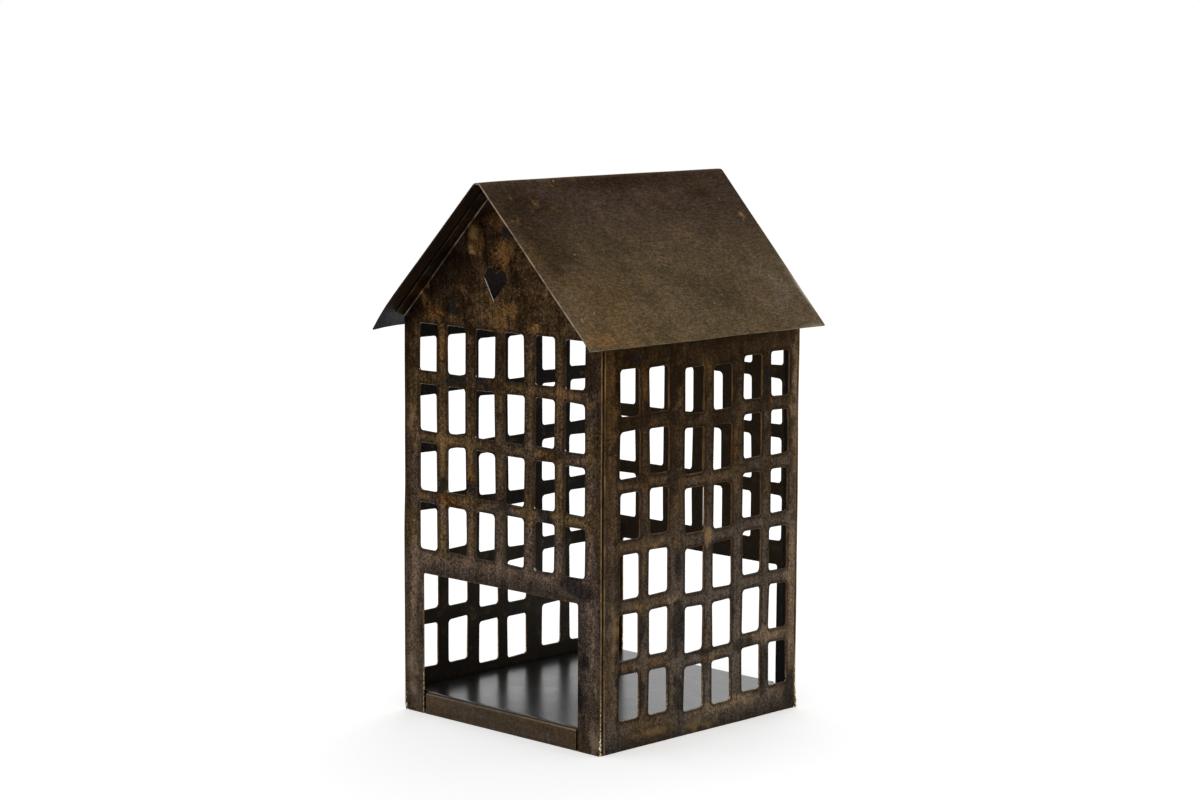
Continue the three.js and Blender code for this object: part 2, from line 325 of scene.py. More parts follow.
def window_holes(centres, height, chance, shine, burr):
    """Bands round hand-cut windows, whose corners stray a little. shine is how bright their edges are
    rubbed, and the last number how bright a painted highlight makes the lower left corner, and a painted
    reflection, a little less bright, the upper edge."""
    sheet = chosen().sheet
    window = chosen().window
    margin = sheet.rub + sheet.halo
    size = Matrix.Diagonal((window.width + 2 * margin, height + 2 * margin, 1, 1))
    bm = bmesh.new()
    for centre in centres:
        place = Matrix.Translation(centre) @ Matrix.Rotation(QUARTER, 4, "X") @ size
        corners = bmesh.ops.create_grid(bm, x_segments=1, y_segments=1, size=0.5, matrix=place)["verts"]
        for corner in corners:
            corner.co += window.wander * Vector((chance.uniform(-1, 1), 0, chance.uniform(-1, 1)))
        bmesh.ops.bevel(
            bm,
            geom=corners,
            offset=window.radius * chance.uniform(0.8, 1.15) + margin,
            segments=5,
            profile=0.5,
            affect="VERTICES",
            material=-1,
        )
    band(bm, sheet.rub, 0, shine, sheet.halo)
    rim = bm.verts.layers.float["rim"]
    edge = [vert for vert in bm.verts if vert[rim] > 0]
    for centre in centres:
        column = (vert for vert in edge if abs(vert.co.x - centre.x) < window.width)
        own = [vert for vert in column if abs(vert.co.z - centre.z) < 0.7 * height]
        left, foot, top = (min(v.co.x for v in own), min(v.co.z for v in own), max(v.co.z for v in own))
        for vert in own:
            # Painted highlight at the lower left corner, and painted reflection of the floor along the upper
            # edge.
            if vert.co.x - left + vert.co.z - foot < 0.6 * window.radius:
                vert[rim] = burr
            elif vert.co.z > top - window.radius / 4:
                vert[rim] = max(0.65 * burr, shine)
    return bm


def heart_hole(gable, rubbed, shine, burr):
    """A band round a heart: two round lobes, and sides that run straight to the tip. The last number is how
    bright the painted highlight along its lower left edge is."""
    centre = point(gable.heart_shift, gable.heart_rise)
    width, height, lobe = gable.heart_width, gable.heart_height, gable.heart_lobe
    lobe_x = width / 2 - lobe
    lobe_z = height / 2 - lobe
    tip = -height / 2
    cleft = math.acos(lobe_x / lobe)
    side = math.atan2(tip - lobe_z, -lobe_x) + math.acos(lobe / math.hypot(lobe_x, lobe_z - tip))
    start, steps = math.pi - cleft, 12
    outline = [start + (side - start) * i / steps for i in range(steps + 1)]
    right = [point(lobe_x + lobe * math.cos(a), lobe_z + lobe * math.sin(a)) for a in outline]
    left = [point(-p.x, p.z) for p in reversed(right[1:])]
    bm = bmesh.new()
    bm.faces.new([bm.verts.new(centre + p) for p in right + [point(0, tip)] + left])
    bmesh.ops.recalc_face_normals(bm, faces=bm.faces)
    bmesh.ops.scale(
        bm,
        vec=Vector((1 + 2 * rubbed / width, 1, 1 + 2 * rubbed / height)),
        space=Matrix.Translation(-centre),
        verts=bm.verts,
    )
    band(bm, rubbed, 0, shine)
    rim = bm.verts.layers.float["rim"]
    # Painted highlight along the heart's lower left edge.
    for vert in bm.verts:
        if vert[rim] > 0 and vert.co.x < centre.x + NEAR and vert.co.z < centre.z + lobe / 2:
            vert[rim] = burr
    bmesh.ops.rotate(bm, cent=centre, matrix=Matrix.Rotation(gable.heart_lean, 3, "Y"), verts=bm.verts)
    return bm


def take_in(bm, other):
    """Adds another mesh to this one."""
    carrier = bpy.data.meshes.new("carrier")
    other.to_mesh(carrier)
    other.free()
    bm.from_mesh(carrier)
    bpy.data.meshes.remove(carrier)


def fill_between(bm):
    """Fills the sheet between its own band and the bands of its holes."""
    rim = bm.verts.layers.float["rim"]
    edges = [e for e in bm.edges if e.is_boundary and all(v[rim] == 0 for v in e.verts)]
    bmesh.ops.triangle_fill(bm, use_beauty=True, edges=edges, normal=(0, -1, 0))
    bmesh.ops.recalc_face_normals(bm, faces=bm.faces)
    if sum(face.normal.y * face.calc_area() for face in bm.faces) > 0:
        bmesh.ops.reverse_faces(bm, faces=bm.faces)


def score(bm, place, across, snap=SNAP):
    """Cuts every face along one straight line."""
    geometry = bm.verts[:] + bm.edges[:] + bm.faces[:]
    bmesh.ops.bisect_plane(bm, geom=geometry, dist=snap, plane_co=place, plane_no=across)


def cut_sheet(corners, roundings=(), holes=()):
    """A flat, pierced sheet, scored into small faces, so that it can wave. A rounding is the number of a
    corner and its radius."""
    sheet = chosen().sheet
    bm = bmesh.new()
    verts = [bm.verts.new(corner) for corner in corners]
    bm.faces.new(verts)
    for number, radius in roundings:
        bmesh.ops.bevel(
            bm, geom=[verts[number]], offset=radius, segments=4, profile=0.5, affect="VERTICES", material=-1
        )
    band(bm, sheet.rub, 1, 0)
    for hole in holes:
        take_in(bm, hole)
    fill_between(bm)
    for axis in (Vector((1, 0, 0)), Vector((0, 0, 1))):
        reach = [vert.co.dot(axis) for vert in bm.verts]
        low, high = min(reach), max(reach)
        lines = round((high - low) / sheet.spacing)
        for i in range(1, lines):
            score(bm, axis * (low + (high - low) * i / lines), axis, NEAR)
    return bm


def fold(bm, place, across, towards, angle, radius, shine, seam=False):
    """Bends the sheet past a line. radius is that of the outer face. The bend is rubbed bright, which also
    stands as a painted highlight on it, with a line of grime along its middle where something sits against
    it."""
    lines = chosen().sheet.bend_lines
    worn = bm.verts.layers.float["worn"]
    for i in range(lines + 1):
        score(bm, place + across * (radius * angle * i / lines), across)
    for vert in bm.verts:
        past = (vert.co - place).dot(across)
        if past <= 0:
            continue
        if past < radius * angle + SNAP / 2:
            share = past / (radius * angle)
            # Rubbed brightness across the bend, which also stands as a painted highlight; on a seam, grime
            # along its middle.
            vert[worn] = shine * math.sin(math.pi * share * (3 if seam else 1))
        turn = min(past / radius, angle)
        straight = past - turn * radius
        over = radius * math.sin(turn) + straight * math.cos(turn)
        down = radius * (1 - math.cos(turn)) + straight * math.sin(turn)
        vert.co += across * (over - past) + towards * down


def turn_about(bm, axis, angle):
    bmesh.ops.rotate(bm, cent=(0, 0, 0), matrix=Matrix.Rotation(angle, 3, axis), verts=bm.verts)


def keep_inside(verts, box):
    for vert in verts:
        vert.co = [min(max(c, low), high) for c, low, high in zip(vert.co, *box)]


# Seeds of the waves. These leave no sliver at the ends of the walls' folds.
WAVES = {"front_gable": 3, "rear_gable": 3, "right_wall": 3, "left_wall": 76, "floor_tray": 3, "roof": 3}


def wave(bm, amount, shift, node):
    """Lets a sheet stray from flat, inside the box that its solid has."""
    noise.seed_set(WAVES[node])
    reach = chosen().sheet.wave_length
    for vert in bm.verts:
        vert.co += amount * noise.noise_vector(vert.co / reach + Vector((shift, 0, -shift)))
    keep_inside(bm.verts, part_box(node))


def new_object(name, bm, materials):
    """An object at the origin with this mesh."""
    mesh = bpy.data.meshes.new(name)
    bm.to_mesh(mesh)
    bm.free()
    for material in materials:
        mesh.materials.append(material)
    made = bpy.data.objects.new(name, mesh)
    bpy.context.scene.collection.objects.link(made)
    return made


def settle(piece, node):
    """Applies the piece's modifiers and puts it in its solid's place."""
    depsgraph = bpy.context.evaluated_depsgraph_get()
    piece.data = bpy.data.meshes.new_from_object(piece.evaluated_get(depsgraph))
    piece.modifiers.clear()
    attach(piece, "root")
    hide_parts(node)


def finish_sheet(bm, node, finishes):
    """Makes the piece: thickness behind the outer face, rounded edges, and the finishes of its outer
    face, inner face and cut edge."""
    sheet = chosen().sheet
    bmesh.ops.remove_doubles(bm, verts=bm.verts, dist=MERGE)
    piece = new_object(node + "_sheet", bm, finishes)
    body = piece.modifiers.new("Thickness", "SOLIDIFY")
    body.thickness = sheet.thickness
    body.offset = -1
    body.material_offset = 1
    body.material_offset_rim = 2
    edges = piece.modifiers.new("Arris", "BEVEL")
    edges.width = sheet.arris
    edges.segments = 2
    edges.limit_method = "ANGLE"
    edges.angle_limit = math.radians(60)
    edges.use_clamp_overlap = False
    edges.loop_slide = False
    settle(piece, node)
    keep_inside(piece.data.vertices, cad_box)
    piece.data.shade_smooth()
    piece.data.set_sharp_from_angle(angle=math.radians(50))


# Materials. A mark fades out this much of its width and height from its middle, and reaches so many
# millimetres through the house. On the gables and walls it is looked up this far astray at most, so that
# its outline is ragged.
FADE = 0.75
THROUGH = 1000
ASTRAY = Vector((5, 5, 5)) * MM


def per(size_mm):
    """Scale of a pattern whose marks are this many millimetres wide."""
    return 1 / (size_mm * MM)


def add(tree, kind, inputs, output=0, **settings):
    """Adds a node and returns one of its outputs. kind is its type without ShaderNode, and each input is
    a value, a colour or another node's output."""
    node = tree.nodes.new("ShaderNode" + kind)
    for name, value in settings.items():
        setattr(node, name, value)
    for name, value in inputs.items():
        if isinstance(value, bpy.types.NodeSocket):
            tree.links.new(value, node.inputs[name])
        else:
            node.inputs[name].default_value = (*value, 1) if isinstance(value, Color) else value
    return node.outputs[output] if node.outputs else None


def new_material(name):
    material = bpy.data.materials.new(name)
    material.use_nodes = True
    material.node_tree.nodes.clear()
    return material, material.node_tree


def total(tree, field, *others):
    """One field plus others. Each other is a field and its weight."""
    for other, weight in others:
        field = add(tree, "Math", {0: other, 1: weight, 2: field}, operation="MULTIPLY_ADD")
    return field


def graded(tree, *rows):
    """A number that goes softly with a field, or the product of several. A row is a field, its low and
    high ends, and the numbers at those ends where they aren't 0 and 1."""
    product = None
    for field, low, high, *ends in rows:
        least, most = ends or (0, 1)
        inputs = {"Value": field, "From Min": low, "From Max": high, "To Min": least, "To Max": most}
        number = add(tree, "MapRange", inputs, interpolation_type="SMOOTHSTEP")
        product = add(tree, "Math", {0: product, 1: number}, operation="MULTIPLY") if product else number
    return product


def coat(tree, under, over, *rows):
    """Lays one colour over another, as thick as the graded rows say."""
    return add(tree, "Mix", {0: graded(tree, *rows), 6: under, 7: over}, 2, data_type="RGBA")


def spots(tree, place, marks):
    """Soft spots, 1 in their middles and 0 outside. A mark is its middle and its half sizes in
    millimetres."""
    spread = 0
    for middle, reach in marks:
        inputs = {"Vector": place, "Location": Vector(middle) * MM, "Scale": Vector(reach) * MM}
        inside = add(tree, "Mapping", inputs, vector_type="TEXTURE")
        spot = add(tree, "TexGradient", {"Vector": inside}, "Fac", gradient_type="SPHERICAL")
        spread = add(tree, "Math", {0: spread, 1: spot}, operation="MAXIMUM")
    return spread


def surface(tree, base, roughness, metallic, bump, tint):
    """The shader of a brass surface. Wax and oxide share it with the metal, and shine weakly. bump is a
    field with its strength and height, and tint the colour seen at a glancing angle."""
    field, strength, height = bump
    normal = add(tree, "Bump", {"Strength": strength, "Distance": height, "Height": field})
    inputs = {"Base Color": base, "Roughness": roughness, "Metallic": metallic, "Normal": normal}
    inputs |= {"Specular IOR Level": 0.25, "Specular Tint": (*tint, 1)}
    add(tree, "OutputMaterial", {"Surface": add(tree, "BsdfPrincipled", inputs)})


def aged_brass(
    name, seed, deep, common, patch, foot, towards, span, marks, faded=None, blur=0.07, patches=1.0,
    stains=0.85, crackle=0.4, brushed=0.4, strokes=(1, 1, 0.12), edge_wear=0.3, bright=None, relief=1.0,
    roughness=0.46, metallic=0.96, tint=(1.0, 1.0, 1.0),
):
    """Brass sheet pickled brown and waxed. The pickle leaves ragged clouds and mottle, ochre patches
    where it is thin and black stains where it pooled. Towards the foot it is paler and greyer, over the
    span in millimetres along towards, and clouds shift that by up to blur in metres. marks are the places
    of its plainest patches, and strokes is the scale that draws the brush marks out. The real grain is
    too fine to show, so it is drawn 0.8 mm wide."""
    finish = chosen().finish
    material, tree = new_material(name)
    place = add(tree, "TexCoord", {}, "Object")
    shift = {"Vector": place, "Location": (seed * 0.37, seed * -0.21, seed * 0.13)}
    still = add(tree, "Mapping", shift)
    drawn = add(tree, "Mapping", shift | {"Scale": strokes})

    # Noise of each kind, and first the width of its marks in millimetres
    clouds, mottle, runs, specks, pits, grain, pools = (
        add(tree, "TexNoise", {
            "Vector": where, "Scale": per(size), "Detail": detail, "Roughness": rough, "Distortion": swirl
        })
        for where, size, detail, rough, swirl in (
            (still, 26, 3, 0.5, 0.4),
            (still, 9, 9, 0.66, 0.25),
            (drawn, 1.7, 4, 0.65, 0),
            (still, 1.5, 4, 0.75, 0),
            (still, 2.2, 3, 0.6, 0),
            (still, 0.8, 2, 0.7, 0),
            (still, 31, 8, 0.68, 0.6),
        )
    )

    drift = add(tree, "TexNoise", {"Vector": still, "Scale": per(8), "Detail": 4}, "Color")
    back = add(tree, "Mapping", {"Vector": place, "Location": -ASTRAY})
    astray = add(tree, "VectorMath", {0: drift, 1: 2 * ASTRAY, 2: back}, operation="MULTIPLY_ADD")
    thinned, bitten, pooled, rusty, bared, gilded, dusted, dulled = (
        spots(tree, astray, marks.get(kind, ()))
        for kind in ("thin", "deep", "pool", "rust", "bare", "golden", "dust", "dull")
    )

    tone = total(tree, mottle, (bitten, -0.18), (thinned, 0.12), (specks, crackle), (1, -0.5 * crackle))
    upper = coat(tree, deep, common, (tone, 0.37, 0.55))
    thin = total(tree, tone, (clouds, 0.6), (thinned, 0.28))
    upper = coat(tree, upper, patch, (thin, 0.82, 1.1, 0, patches))
    lower = coat(tree, foot, faded or foot, (total(tree, clouds, (dulled, 0.3)), 0.46, 0.6))
    lower = coat(tree, lower, deep, (tone, 0.3, 0.56, 0.55, 0))
    height = add(tree, "VectorMath", {0: place, 1: towards}, "Value", operation="DOT_PRODUCT")
    low, high = (end * MM + blur / 2 for end in span)
    rise = (total(tree, height, (clouds, blur)), low, high)
    base = coat(tree, lower, upper, rise)

    halo, rim, worn = (
        add(tree, "Attribute", {}, "Fac", attribute_name=layer) for layer in ("halo", "rim", "worn")
    )
    for colour, field, low, high, most in (
        (finish.dust, total(tree, mottle, (dusted, 0.55)), 0.55, 0.95, 0.85),
        (finish.rust, total(tree, mottle, (rusty, 0.3), (specks, 0.5)), 0.84, 1.04, 0.7),
        (coat(tree, finish.slate, deep, rise), total(tree, halo, (mottle, 2)), 0.95, 2, 0.7),
        (finish.slate, total(tree, pools, (pooled, 0.45), (mottle, 0.4), (specks, 0.4)), 1.02, 1.12, stains),
        (finish.umber, total(tree, pits, (rusty, 0.12)), 0.6, 0.7, 1.6 * stains * crackle),
    ):
        base = coat(tree, base, colour, (field, low, high, 0, most))
    shade = graded(
        tree,
        (specks, 0.36, 0.64, 1 - 0.5 * crackle, 1 + 0.6 * crackle),
        (grain, 0.36, 0.64, 1 - 0.9 * crackle, 1 + 1.1 * crackle),
        (runs, 0.34, 0.66, 1 - brushed * crackle, 1 + brushed * crackle),
    )
    base = add(tree, "HueSaturation", {"Color": base, "Value": shade})

    # Rubbed edges and folds are brightened; on the folds this also stands as a painted highlight, and on the
    # gables' flanges it is painted light.
    edges = add(tree, "Math", {0: rim, 1: edge_wear}, operation="MULTIPLY")
    rubbed = add(tree, "Math", {0: worn, 1: edges}, operation="MAXIMUM")
    uneven = graded(tree, (mottle, 0.4, 0.6, 0.25, 0.9), (clouds, 0.4, 0.6, 0.35, 1))
    rubbed = add(tree, "Math", {0: rubbed, 1: uneven}, operation="MULTIPLY")
    bare = graded(tree, (total(tree, mottle, (bared, 0.4)), 0.6, 0.95))
    rubbed = total(tree, rubbed, (bare, 0.42))
    base = add(tree, "Mix", {0: rubbed, 6: base, 7: bright or finish.gold}, 2, data_type="RGBA")
    gilt = total(tree, mottle, (gilded, 0.45), (specks, 0.3))
    base = coat(tree, base, finish.gold, (gilt, 0.85, 1.1, 0, 0.75))
    # Painted white highlights and reflections on the cut edges.
    base = coat(tree, base, finish.filed, (rim, 1, 1.6, 0, 0.7))
    # Grime in the seams, and painted shade under the middle of the roof.
    base = coat(tree, base, finish.seam, (worn, -0.6, -0.05, 0.9, 0))

    uneven = graded(tree, (mottle, 0.35, 0.65, roughness + 0.07 * relief, roughness - 0.06 * relief))
    bump = (total(tree, grain, (specks, 0.5)), 0.35, 0.05 * MM * relief)
    surface(tree, base, uneven, metallic, bump, tint)
    return material


# The places of the plainest patches, in millimetres: across and up, then width and height, and on the roof
# along the ridge and down the slope. "thin" and "deep" say how the pickle took, "pool" is a black stain,
# "rust" a reddish one, "dust" and "dull" are grey, and the others are rubbed. On the roof "rust" marks are
# golden dabs, "bare" ones are grey, "warm" and "golden" ones are the brown of honey, and the last ones are a
# painted highlight at the far right eave corner and, turned round, at the near left one.
GABLE_MARKS = {
    "thin": (
        (-18, 247, 13, 20), (2, 241, 11, 12), (-4, 257, 12, 6), (-56, 215, 12, 11), (1, 209, 10, 11),
        (9, 212, 9, 8), (-46, 208, 12, 8), (-64, 152, 8, 16), (25, 206, 8, 6), (45, 175, 18, 6),
        (-20, 98, 7, 24), (-41, 140, 8, 26), (-35, 144, 26, 6), (-41, 190, 8, 20),
    ),
    "deep": (
        (-9, 243, 5, 20), (-26, 226, 20, 22), (11, 226, 12, 10), (-66, 194, 12, 30), (-73, 209, 10, 10),
        (-34, 212, 10, 12), (-3, 190, 8, 18), (-12, 174, 30, 7), (22, 128, 10, 26), (36, 144, 24, 6),
        (-3, 144, 14, 6), (62, 186, 12, 22), (-20, 200, 8, 6),
    ),
    "pool": (
        (5, 251, 5, 6), (53, 81, 21, 12), (58, 44, 7, 10), (56, 26, 4, 14), (33, 114, 12, 4),
        (-34, 211, 5, 6), (-30, 175, 16, 5), (-42, 121, 7, 9), (-57, 43, 3, 5), (-13, 175, 8, 4),
        (-20, 121, 6, 7), (4, 118, 5, 6),
    ),
    "rust": (
        (-37, 113, 36, 9), (-20, 126, 6, 22), (-14, 114, 14, 8), (-46, 209, 14, 11), (-4, 257, 12, 7),
        (4, 236, 6, 8), (33, 144, 12, 5), (-20, 104, 6, 14),
    ),
    "bare": ((-65, 22, 9, 40), (66, 8, 8, 18), (-64, 152, 5, 14)),
    "golden": ((-56, 215, 7, 11), (-51, 220, 6, 7), (-19, 250, 10, 10), (-21, 241, 7, 9)),
    "dust": ((-64, 30, 18, 110), (64, 30, 10, 70)),
    "dull": ((-12, 80, 120, 16), (-64, 60, 14, 40), (62, 60, 16, 60), (22, 98, 60, 26)),
}
WALL_MARKS = {
    "thin": (
        (-67, 170, 9, 60), (-66, 125, 7, 50), (-43, 178, 6, 20), (3, 176, 6, 20), (-44, 131, 44, 5),
        (5, 128, 36, 5), (-19, 116, 8, 16), (-45, 101, 32, 6),
    ),
    "deep": (
        (-49, 193, 14, 5), (-48, 163, 34, 7), (10, 158, 25, 8), (20, 200, 100, 8), (-61, 60, 6, 80),
        (-61, 150, 6, 70), (45, 150, 7, 80), (-21, 178, 14, 44), (-21, 136, 12, 40), (-50, 132, 30, 6),
        (20, 172, 10, 50),
    ),
    "pool": (
        (48, 176, 8, 17), (30, 40, 16, 7), (47, 24, 7, 22), (67, 12, 10, 20), (-45, 58, 6, 18),
        (-45, 26, 6, 16), (-18, 56, 7, 26), (-17, 86, 6, 16), (-17, 22, 6, 16), (22, 58, 6, 16),
        (-61, 40, 3, 50), (4, 41, 16, 3), (-49, 193, 8, 5),
    ),
    "rust": ((23, 144, 6, 14),),
    "bare": (
        (0, 4, 40, 7), (4, 100, 9, 14), (-38, 6, 26, 6), (-44, 71, 16, 5), (-33, 100, 12, 6),
        (7, 37, 7, 6), (-63, 60, 8, 40),
    ),
    "dust": (
        (71, 160, 7, 80), (68, 60, 14, 90), (50, 44, 40, 12), (20, 12, 60, 8), (4, 100, 8, 13),
        (-21, 70, 8, 5),
    ),
    "dull": ((35, 25, 90, 60), (20, 80, 90, 60), (70, 60, 16, 120)),
}
ROOF_MARKS = {
    "thin": ((-82, 50, 16, 14), (-30, 60, 90, 50), (67, 10, 16, 10)),
    "deep": ((-72, 40, 36, 70), (10, 6, 120, 14), (-70, 18, 44, 34), (-79, 32, 12, 18), (58, 17, 22, 8)),
    "rust": ((78, 33, 5, 7), (77, 37, 3, 4), (-81, 91, 4, 5)),
    "bare": ((72, 84, 44, 56), (84, 109, 26, 20)),
    "warm": ((-74, 104, 40, 18), (-40, 112, 80, 8)),
    "golden": ((-52, 84, 60, 54), (-84, 54, 10, 30)),
    "polished": ((84, 88, 5, 34), (75, 111, 22, 6)),
}


def gable_brass():
    """The gables kept the strongest marks of the pickle, ochre patches over umber. A mark reaches
    through the house to both gables."""
    finish = chosen().finish
    marks = {
        kind: [((x, 0, z), (FADE * width, THROUGH, FADE * height)) for x, z, width, height in rows]
        for kind, rows in GABLE_MARKS.items()
    }
    return aged_brass(
        "pickled_gable_brass", seed=1, deep=finish.umber, common=finish.brown, patch=finish.ochre,
        foot=finish.stone, faded=finish.mauve, towards=(-0.15, 0, 1), span=(30, 250), marks=marks,
        crackle=0.56, brushed=0.55, edge_wear=0.2, bright=finish.bronze, tint=(0.7, 0.58, 0.38),
    )


def wall_brass():
    """The walls are a duller brown, darkest under the eaves. A mark reaches through to both."""
    finish = chosen().finish
    marks = {
        kind: [((0, y, z), (THROUGH, FADE * width, FADE * height)) for y, z, width, height in rows]
        for kind, rows in WALL_MARKS.items()
    }
    return aged_brass(
        "pickled_wall_brass", seed=2, deep=finish.umber, common=finish.drab, patch=finish.ochre,
        foot=finish.khaki, faded=finish.dusk, towards=(0, -0.35, 1), span=(20, 230), marks=marks,
        patches=0.58, stains=0.7, crackle=0.45, brushed=0.5, edge_wear=0.9, tint=(0.72, 0.6, 0.43),
    )


def smoked_brass(name, ground, foot, span, blur=0.07, tint=(0.8, 0.74, 0.64)):
    """Inside, the given colours lie over the pickle as painted shade of the inside of the house, nearly
    black on the walls, and hide some of the metal.
    """
    finish = chosen().finish
    return aged_brass(
        name, seed=4, deep=ground, common=ground, patch=finish.brown, foot=foot, towards=(0, 0, 1),
        span=span, marks={}, blur=blur, patches=0.3, stains=0.3, crackle=0.25, roughness=0.42,
        metallic=0.6, tint=tint,
    )


def floor_brass():
    """The floor is waxed dark and mirrors the windows softly. Its flaps are as brown as the gables."""
    finish = chosen().finish
    return aged_brass(
        "waxed_floor_brass", seed=5, deep=finish.floor, common=finish.floor, patch=finish.brown,
        foot=finish.flap, towards=(0, 0, 1), span=(10.4, 11.1), marks={}, blur=0.0, patches=0.0,
        stains=0.0, crackle=0.3, brushed=0.5, strokes=(0.12, 1, 1), relief=0.25, roughness=0.23,
    )


def roof_brass():
    """The roof was rubbed smooth along its ridge, so it is even: reddish brown at the ridge, olive lower
    down, paler at the eaves, with a few bright nicks and a painted highlight at two eave corners. Each slope
    has the marks of the other, turned round."""
    finish = chosen().finish
    pitch = chosen().gable.pitch
    material, tree = new_material("rubbed_roof_brass")
    place = add(tree, "TexCoord", {}, "Object")
    top = roof_high.z / MM
    marks = {
        kind: [
            (
                (side * down * math.cos(pitch), side * y, top - down * math.sin(pitch)),
                (FADE * height, FADE * width, FADE * height),
            )
            for side in (1, -1)
            for y, down, width, height in rows
        ]
        for kind, rows in ROOF_MARKS.items()
    }
    thinned, bitten, rusty, bared, warmed, gilded, polished = (
        spots(tree, place, marks[kind])
        for kind in ("thin", "deep", "rust", "bare", "warm", "golden", "polished")
    )
    drawn = add(tree, "Mapping", {"Vector": place, "Scale": (1, 0.35, 1)})
    clouds, blotches, specks, strokes = (
        add(tree, "TexNoise", {"Vector": where, "Scale": per(size), "Detail": detail, "Roughness": rough})
        for where, size, detail, rough in (
            (place, 26, 5, 0.6),
            (place, 9, 9, 0.7),
            (place, 1.1, 3, 0.7),
            (drawn, 1.1, 3, 0.7),
        )
    )

    blur = 0.05
    height = total(tree, add(tree, "SeparateXYZ", {"Vector": place}, "Z"), (clouds, blur))
    base = coat(tree, finish.eave, finish.ridge, (height, roof_low.z + blur / 2, roof_high.z + blur / 2))
    for colour, field, low, high, most in (
        (finish.olive, total(tree, clouds, (thinned, 0.25), (blotches, 0.4)), 0.7, 0.95, 0.6),
        (finish.umber, total(tree, blotches, (bitten, 0.45), (clouds, 0.4)), 0.7, 1.15, 0.6),
        (finish.ash, total(tree, blotches, (bared, 0.4), (clouds, 0.3)), 0.74, 1.1, 0.62),
        (finish.honey, total(tree, blotches, (warmed, 0.4)), 0.5, 1, 0.7),
        (finish.honey, total(tree, blotches, (gilded, 0.4)), 0.5, 1, 0.3),
        (finish.gold, total(tree, blotches, (rusty, 0.45)), 0.66, 0.9, 0.8),
    ):
        base = coat(tree, base, colour, (field, low, high, 0, most))
    shade = graded(
        tree,
        (specks, 0.38, 0.62, 0.74, 1.32),
        (blotches, 0.3, 0.7, 0.92, 1.08),
        (strokes, 0.38, 0.62, 0.78, 1.24),
    )
    base = add(tree, "HueSaturation", {"Color": base, "Value": shade})

    nicks = {"Vector": place, "Scale": per(30)}
    nicks = add(tree, "TexVoronoi", nicks, "Distance", voronoi_dimensions="2D")
    rim = add(tree, "Attribute", {}, "Fac", attribute_name="rim")
    bright = graded(tree, (nicks, 0.008, 0.02, 0.8, 0), (clouds, 0.4, 0.6))
    # Painted highlight at two eave corners, pale and white.
    bright = total(tree, bright, (graded(tree, (rim, 0.2, 1)), 0.3), (polished, 0.8))
    base = add(tree, "Mix", {0: bright, 6: base, 7: finish.pale}, 2, data_type="RGBA")
    base = coat(tree, base, finish.filed, (polished, 0.3, 1, 0, 0.8))
    uneven = graded(tree, (blotches, 0.35, 0.65, 0.48, 0.38))
    surface(tree, base, uneven, 0.95, (specks, 0.3, 0.04 * MM), (0.5, 0.46, 0.4))
    return material


def sheared_brass(name, bright):
    """Cut edges are tarnished yellow brass, brightest where hands reach them, with glints of braze near the
    foot, and white where painted highlights and reflections are."""
    finish = chosen().finish
    material, tree = new_material(name)
    place = add(tree, "TexCoord", {}, "Object")
    tarnish, nicks = (
        add(tree, "TexNoise", {"Vector": place, "Scale": per(size), "Detail": detail, "Roughness": rough})
        for size, detail, rough in ((6, 5, 0.65), (0.8, 3, 0.6))
    )
    rim = add(tree, "Attribute", {}, "Fac", attribute_name="rim")
    foot = add(tree, "SeparateXYZ", {"Vector": place}, "Z")
    base = coat(tree, finish.umber, bright, (rim, 0.1, 1), (tarnish, 0.35, 0.62, 0.4, 1))
    # Painted white highlights and reflections.
    base = coat(tree, base, finish.filed, (rim, 1.1, 1.8))
    glints = ((nicks, 0.5, 0.58), (foot, 15 * MM, 35 * MM, 1, 0), (rim, 0.5, 1))
    base = coat(tree, base, finish.braze, *glints)
    uneven = graded(tree, (nicks, 0.3, 0.7, 0.28, 0.5))
    surface(tree, base, uneven, 0.95, (nicks, 0.5, 0.06 * MM), (0.8, 0.75, 0.65))
    return material


def cooled_braze():
    """Braze runs bright and pale, with pits and flux left in its hollows."""
    finish = chosen().finish
    material, tree = new_material("cooled_braze")
    place = add(tree, "TexCoord", {}, "Object")
    pits = add(tree, "TexNoise", {"Vector": place, "Scale": per(0.9), "Detail": 4, "Roughness": 0.7})
    base = coat(tree, finish.umber, finish.braze, (pits, 0.42, 0.6))
    uneven = graded(tree, (pits, 0.3, 0.7, 0.45, 0.2))
    surface(tree, base, uneven, 1.0, (pits, 0.6, 0.1 * MM), (1.0, 1.0, 1.0))
    return material


# Pieces. Where an edge or a face isn't plain, these are the values of its layers: the dull rim of the edges
# on the gables' flanges and on the roof's left slope, the rim of the roof's right eave and rear verge, the
# painted light on a gable's flange, which lies in the roof's shade, and the painted shade under the middle
# of the roof.
DULL_RIM = 0.15
SIDE_RIM = 0.6
FLANGE_WEAR = 0.45
SOOT = -0.5


def oblong(left, right, foot, top):
    return [point(left, foot), point(right, foot), point(right, top), point(left, top)]


